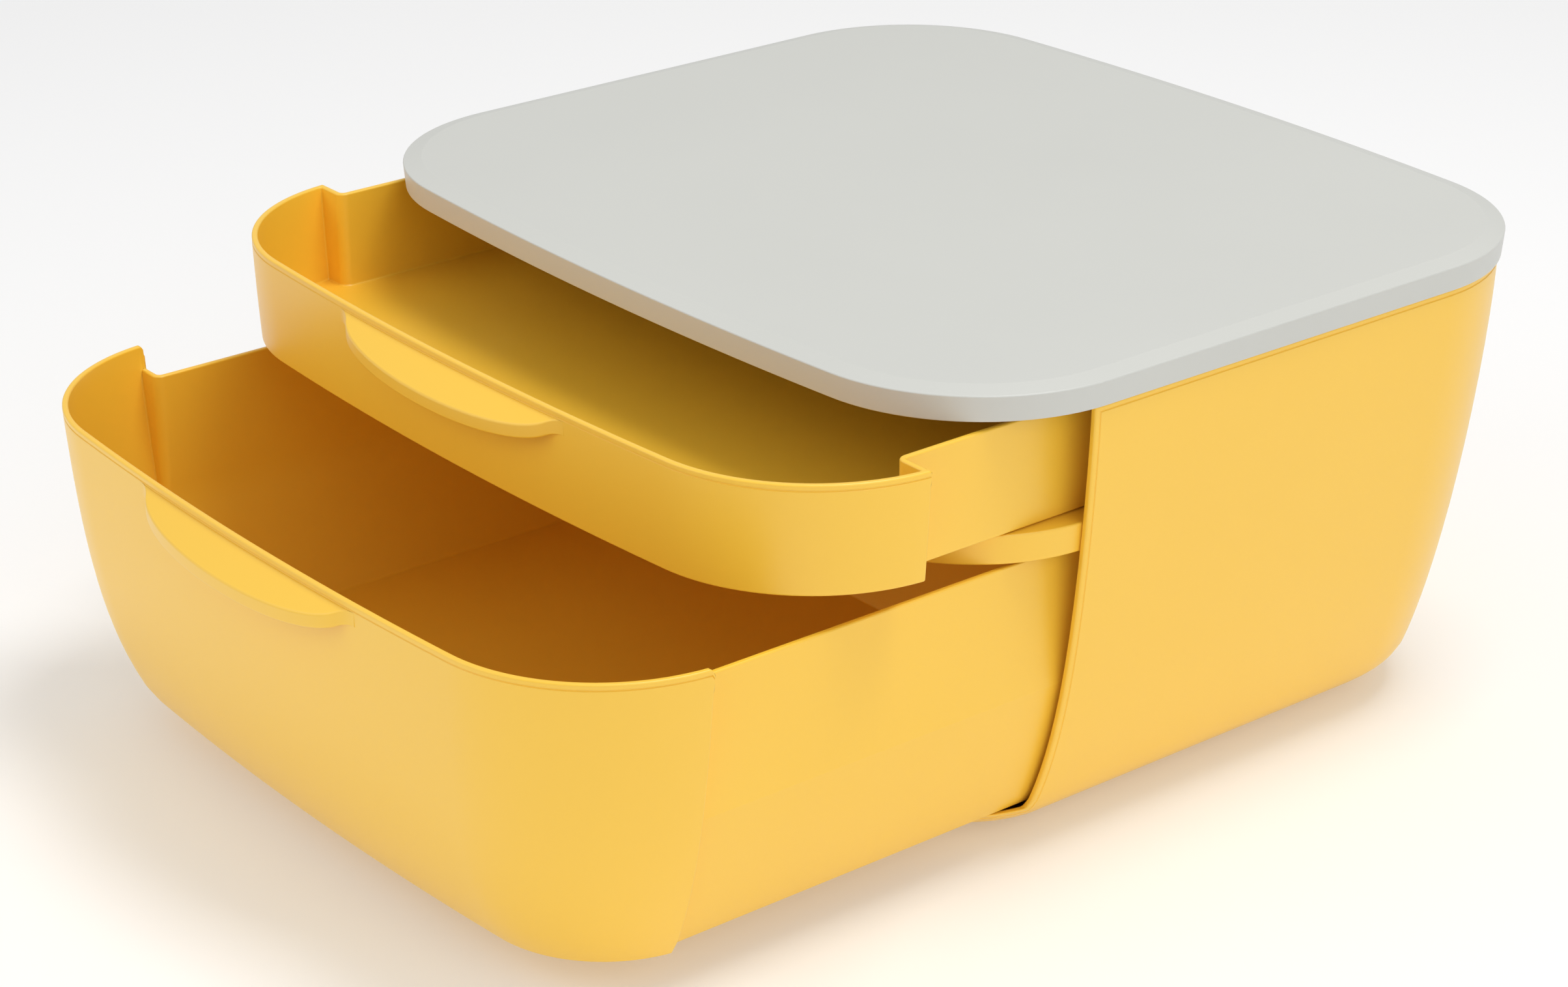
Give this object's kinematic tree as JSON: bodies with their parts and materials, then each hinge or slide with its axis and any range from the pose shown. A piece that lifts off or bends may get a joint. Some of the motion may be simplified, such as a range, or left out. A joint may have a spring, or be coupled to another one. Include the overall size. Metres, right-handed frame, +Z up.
{
  "type": "file box with drawers",
  "caption": "Desktop storage box with a grey lid, a rounded casing open at the front, and wrap-round pull-out drawers with flared finger lips.",
  "frame": {"origin": "under the middle of the casing's plan, on the surface that the feet stand on", "axes": "+X to the right and +Z up as seen from the front; +Y to the rear, so the drawers open towards -Y"},
  "size_m": [0.38, 0.4975, 0.1966],
  "materials": {
    "yellow_casing": "satin, fine grain",
    "grey_lid": "satin, fine grain",
    "yellow_shelf": "satin, fine grain",
    "yellow_upper_drawer": "satin, fine grain",
    "yellow_lower_drawer": "satin, fine grain",
    "foot_rubber": "matt",
    "screw_steel": "zinc plated"
  },
  "bodies": {
    "box": {"casing": "yellow_casing", "lid": "grey_lid", "shelf": "yellow_shelf", "foot_front_left": "foot_rubber", "foot_front_right": "foot_rubber", "foot_rear_left": "foot_rubber", "foot_rear_right": "foot_rubber", "lid_screws": "screw_steel", "shelf_screws": "screw_steel"},
    "upper_drawer": {"upper_drawer": "yellow_upper_drawer"},
    "lower_drawer": {"lower_drawer": "yellow_lower_drawer"}
  },
  "joints": [
    {"name": "upper_drawer_slide", "type": "slide", "parent": "box", "child": "upper_drawer", "axis": [0, -1, 0], "range_m": [-0.0736, 0.1264]},
    {"name": "lower_drawer_slide", "type": "slide", "parent": "box", "child": "lower_drawer", "axis": [0, -1, 0], "range_m": [-0.1629, 0.0371]}
  ]
}
